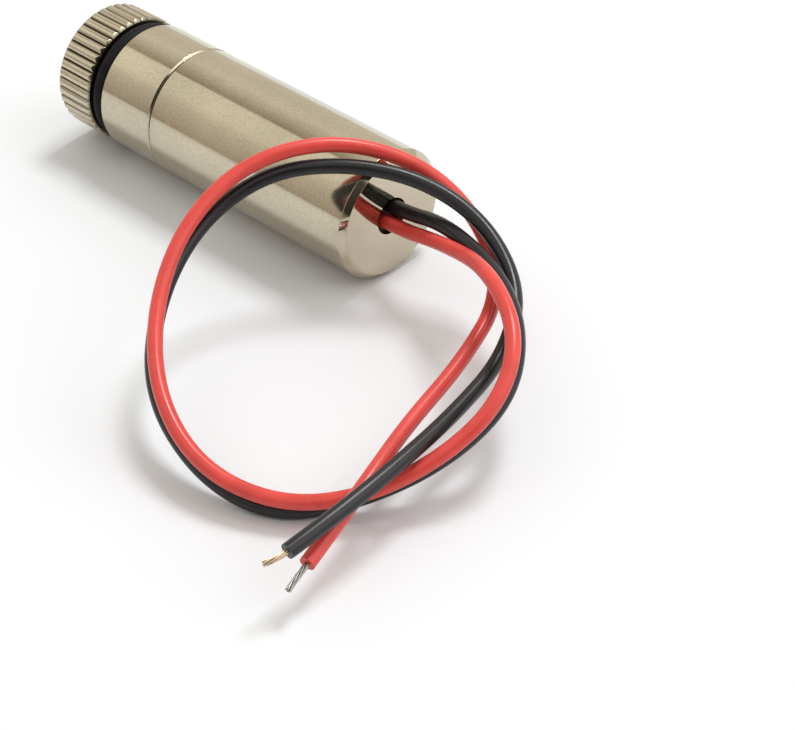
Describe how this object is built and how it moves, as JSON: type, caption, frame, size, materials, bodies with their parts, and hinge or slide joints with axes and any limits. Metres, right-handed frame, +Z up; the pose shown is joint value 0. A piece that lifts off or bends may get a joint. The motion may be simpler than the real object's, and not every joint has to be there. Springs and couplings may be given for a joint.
{
  "type": "laser diode module",
  "caption": "Round plated laser diode module with a knurled focusing cap on an O-ring and a red and a black lead with stripped ends, for clamping by its barrel.",
  "frame": {"origin": "on the optical axis, at the middle of the barrel's length", "axes": "+X along the optical axis towards the beam, +Z up as the module lies on its side, +Y to the left of the beam, on the side of the leads' loop"},
  "size_m": [0.0623, 0.0428, 0.0165],
  "materials": {
    "plated_brass": "polished warm grey plating over brass",
    "rubber_black": "smooth nitrile rubber",
    "lens_clear": "clear moulded acrylic",
    "bare_brass": "turned brass",
    "spring_steel": "bright drawn wire",
    "gold_plate": "gold plating",
    "nickel_cap": "nickel-plated cap",
    "window_glass": "clear window",
    "chip_crystal": "polished crystal",
    "bead_glass": "dark sealing glass",
    "sleeve_film": "heat-shrink film",
    "board_laminate": "green circuit laminate",
    "mould_black": "moulded package",
    "trimmer_body": "white moulded trimmer",
    "capacitor_body": "tan ceramic",
    "resistor_body": "black ceramic",
    "solder": "bright solder",
    "potting": "black potting",
    "red_insulation": "smooth red vinyl",
    "black_insulation": "smooth black vinyl",
    "tinned_copper": "tinned strands"
  },
  "bodies": {
    "housing": {"rear_barrel": "plated_brass", "front_barrel": "plated_brass", "focus_spring": "spring_steel", "diode_stem": "gold_plate", "diode_can": "nickel_cap", "diode_window": "window_glass", "diode_chip": "chip_crystal", "diode_pins": "gold_plate", "pin_seals": "bead_glass", "clamp_ring": "bare_brass", "board_sleeve": "sleeve_film", "driver_board": "board_laminate", "driver_chip": "mould_black", "power_transistor": "mould_black", "power_trimmer": "trimmer_body", "chip_capacitors": "capacitor_body", "chip_resistors": "resistor_body", "solder_joints": "solder", "lead_plug": "potting", "red_lead": "red_insulation", "black_lead": "black_insulation", "red_core": "tinned_copper", "black_core": "tinned_copper"},
    "o_ring": {"o_ring": "rubber_black"},
    "focus_head": {"focus_cap": "plated_brass", "lens": "lens_clear", "lens_retainer": "bare_brass"}
  },
  "joints": [
    {"name": "focus_travel", "type": "slide", "parent": "housing", "child": "o_ring", "axis": [1, 0, 0], "range_m": [0, 0.0015], "deforming": ["focus_spring"]},
    {"name": "focus_turn", "type": "hinge", "parent": "o_ring", "child": "focus_head", "pos_m": [0.01953, 0, 0], "axis": [1, 0, 0], "range_deg": [0, 1080]}
  ],
  "couplings": [
    {"joint": "focus_turn", "follows": "focus_travel", "rad_per_m": 12566}
  ]
}
